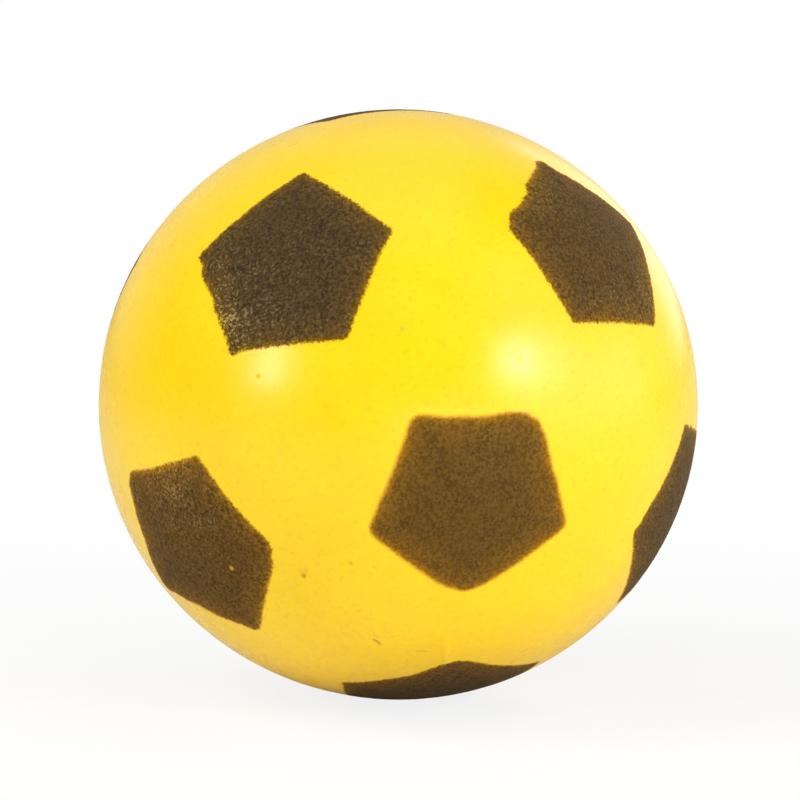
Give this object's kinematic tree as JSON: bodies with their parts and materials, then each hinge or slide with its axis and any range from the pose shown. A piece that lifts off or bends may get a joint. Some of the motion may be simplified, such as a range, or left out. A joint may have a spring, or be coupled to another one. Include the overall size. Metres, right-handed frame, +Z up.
{
  "type": "dodgeball",
  "caption": "Round soft foam play ball with a smooth moulded yellow skin, printed with dark pentagons in the traditional football pattern.",
  "frame": {"origin": "centre of the ball", "axes": "+Z up as the ball lies in the picture, -Y towards the viewer (the side that shows four whole pentagons), +X to the viewer's right"},
  "size_m": [0.2, 0.2, 0.2],
  "materials": {
    "core_foam": "open-celled soft polyurethane foam, matt",
    "yellow_skin": "closed moulded foam skin, satin, with fine pores",
    "dark_ink": "matt grainy dark ink soaked into the foam skin, edges slightly frayed"
  },
  "bodies": {
    "root": {"foam_core": "core_foam", "skin": "yellow_skin", "pentagon_top": "dark_ink", "pentagon_upper_right_back": "dark_ink", "pentagon_upper_back": "dark_ink", "pentagon_upper_left": "dark_ink", "pentagon_front_upper_left": "dark_ink", "pentagon_front_upper_right": "dark_ink", "pentagon_lower_right_back": "dark_ink", "pentagon_lower_left_back": "dark_ink", "pentagon_front_lower_left": "dark_ink", "pentagon_front_middle": "dark_ink", "pentagon_lower_right": "dark_ink", "pentagon_bottom": "dark_ink"}
  },
  "joints": []
}
